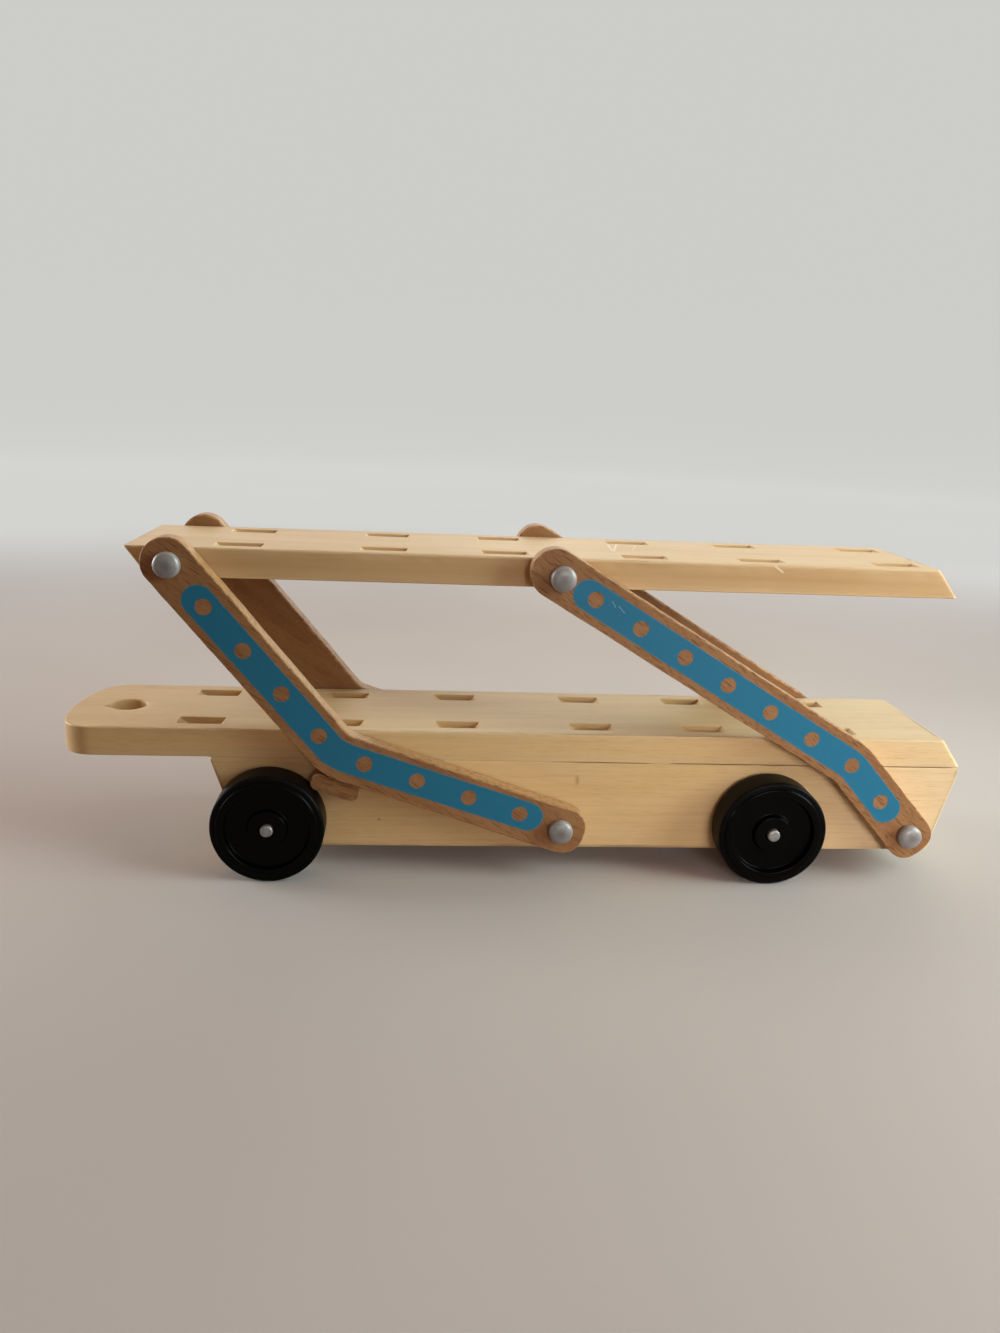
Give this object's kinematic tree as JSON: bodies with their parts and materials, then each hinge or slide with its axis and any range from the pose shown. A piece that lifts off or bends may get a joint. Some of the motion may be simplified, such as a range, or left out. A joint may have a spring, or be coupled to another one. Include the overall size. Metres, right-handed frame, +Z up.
{
  "type": "wooden car transporter toy",
  "caption": "Wooden toy car-transporter trailer: two plank decks with wheel pockets, swinging bent arms, hitch tongue and rolling wheels.",
  "frame": {"origin": "on the floor, under the middle of the length and width", "axes": "+X from the hitch tongue to the loading end, +Y to the trailer's right side, +Z up"},
  "size_m": [0.29, 0.0696, 0.1065],
  "materials": {
    "plank_wood": "sanded pale wood, satin lacquer",
    "arm_wood": "sanded beech with a painted blue strip and bare dots",
    "pin_metal": "satin grey",
    "wheel_plastic": "gloss black",
    "axle_steel": "bright drawn steel"
  },
  "bodies": {
    "chassis": {"deck_plank": "plank_wood", "chassis_block": "plank_wood", "stop_block_left": "arm_wood", "stop_block_right": "arm_wood", "lower_front_pin_left": "pin_metal", "lower_front_pin_right": "pin_metal", "lower_rear_pin_left": "pin_metal", "lower_rear_pin_right": "pin_metal"},
    "front_wheelset": {"front_axle": "axle_steel", "front_wheel_left": "wheel_plastic", "front_wheel_right": "wheel_plastic"},
    "rear_wheelset": {"rear_axle": "axle_steel", "rear_wheel_left": "wheel_plastic", "rear_wheel_right": "wheel_plastic"},
    "front_arms": {"front_arm_left": "arm_wood", "front_arm_right": "arm_wood"},
    "swing_deck": {"upper_deck": "plank_wood", "upper_front_pin_left": "pin_metal", "upper_front_pin_right": "pin_metal", "upper_rear_pin_left": "pin_metal", "upper_rear_pin_right": "pin_metal"},
    "rear_arms": {"rear_arm_left": "arm_wood", "rear_arm_right": "arm_wood"}
  },
  "joints": [
    {"name": "front_axle_spin", "type": "hinge", "parent": "chassis", "child": "front_wheelset", "pos_m": [-0.0794, 0, 0.0175], "axis": [0, 1, 0], "continuous": true},
    {"name": "rear_axle_spin", "type": "hinge", "parent": "chassis", "child": "rear_wheelset", "pos_m": [0.0803, 0, 0.0175], "axis": [0, 1, 0], "continuous": true},
    {"name": "deck_swing", "type": "hinge", "parent": "chassis", "child": "front_arms", "pos_m": [0.0121, 0, 0.0165], "axis": [0, 1, 0], "range_deg": [0, 135]},
    {"name": "deck_level", "type": "hinge", "parent": "front_arms", "child": "swing_deck", "pos_m": [-0.10668, 0, 0.09844], "axis": [0, 1, 0], "range_deg": [-135, 0]},
    {"name": "rear_arm_swing", "type": "hinge", "parent": "chassis", "child": "rear_arms", "pos_m": [0.1271, 0, 0.0158], "axis": [0, 1, 0], "range_deg": [0, 135]}
  ],
  "couplings": [
    {"joint": "deck_level", "follows": "deck_swing", "ratio": -1},
    {"joint": "rear_arm_swing", "follows": "deck_swing", "ratio": 1}
  ]
}
